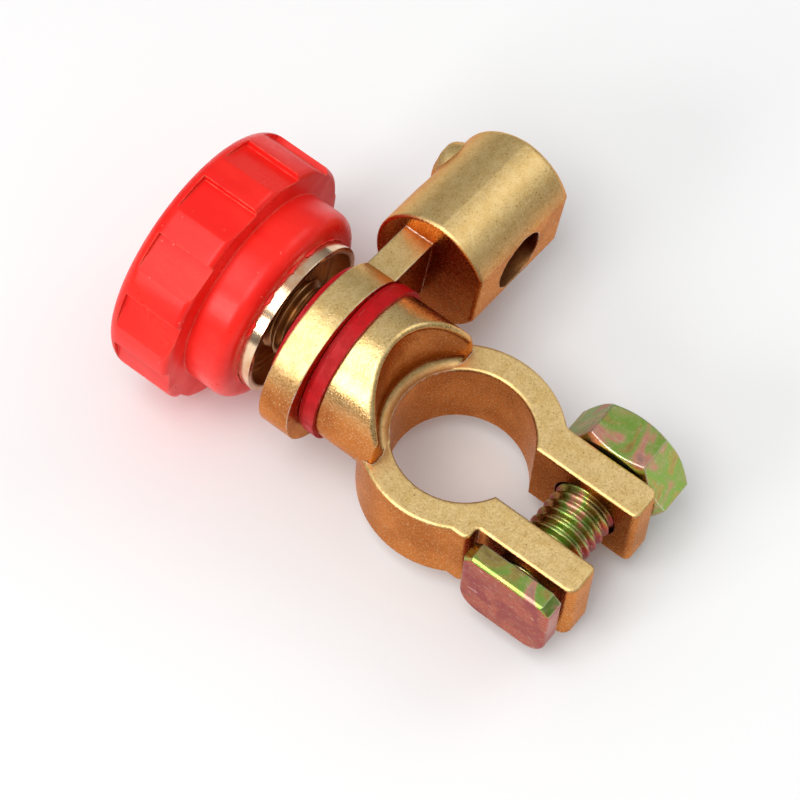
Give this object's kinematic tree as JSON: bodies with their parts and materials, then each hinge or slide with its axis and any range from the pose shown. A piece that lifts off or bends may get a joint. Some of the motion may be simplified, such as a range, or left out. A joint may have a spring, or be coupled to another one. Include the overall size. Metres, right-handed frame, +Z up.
{
  "type": "battery terminal clamp",
  "caption": "Slotted top-post battery clamp with a square-headed clamp bolt, a round boss, an insulated cable lug that turns about it, and a fluted screw knob that opens and closes the contact.",
  "frame": {"origin": "centre of the post bore at the clamp's bottom face", "axes": "+Z up along the battery post, -Y towards the slotted ears, +Y towards the knob, +X towards the cable barrel"},
  "size_m": [0.0494, 0.0625, 0.0321],
  "materials": {
    "cast_brass": "fine-grained casting",
    "polished_brass": "turned and polished",
    "insulator_red": "semi-matt",
    "knob_red": "glossy moulded",
    "yellow_zinc": "yellow zinc plated",
    "screw_steel": "dark zinc plated"
  },
  "bodies": {
    "clamp": {"clamp_body": "cast_brass", "insulating_bush": "insulator_red", "outer_insulating_washer": "insulator_red"},
    "cup": {"contact_cup": "polished_brass"},
    "knob": {"knob_grip": "knob_red", "knob_stud": "polished_brass"},
    "lug": {"cable_lug": "cast_brass"},
    "set_screw": {"cable_set_screw": "screw_steel"},
    "bolt": {"clamp_bolt": "yellow_zinc"},
    "nut": {"clamp_nut": "yellow_zinc"}
  },
  "joints": [
    {"name": "knob_travel", "type": "slide", "parent": "clamp", "child": "cup", "axis": [0, 1, 0], "range_m": [-0.00328, 0.005]},
    {"name": "knob_turn", "type": "hinge", "parent": "cup", "child": "knob", "pos_m": [0, 0.03, 0.01205], "axis": [0, 1, 0], "range_deg": [-788, 1201]},
    {"name": "lug_swivel", "type": "hinge", "parent": "clamp", "child": "lug", "pos_m": [0, 0.01825, 0.01205], "axis": [0, 1, 0], "range_deg": [-215, 35]},
    {"name": "set_screw_travel", "type": "slide", "parent": "lug", "child": "set_screw", "axis": [-0.9848, 0, 0.1736], "range_m": [-0.003, 0.004]},
    {"name": "nut_turn", "type": "hinge", "parent": "clamp", "child": "nut", "pos_m": [0.0115, -0.01505, 0.0058], "axis": [1, 0, 0], "range_deg": [-316, 1008]},
    {"name": "bolt_travel", "type": "slide", "parent": "clamp", "child": "bolt", "axis": [1, 0, 0], "range_m": [-0.00351, 0.0011]}
  ],
  "couplings": [
    {"joint": "knob_turn", "follows": "knob_travel", "rad_per_m": 4188.8},
    {"joint": "bolt_travel", "follows": "nut_turn", "m_per_rad": -0.00019894}
  ]
}
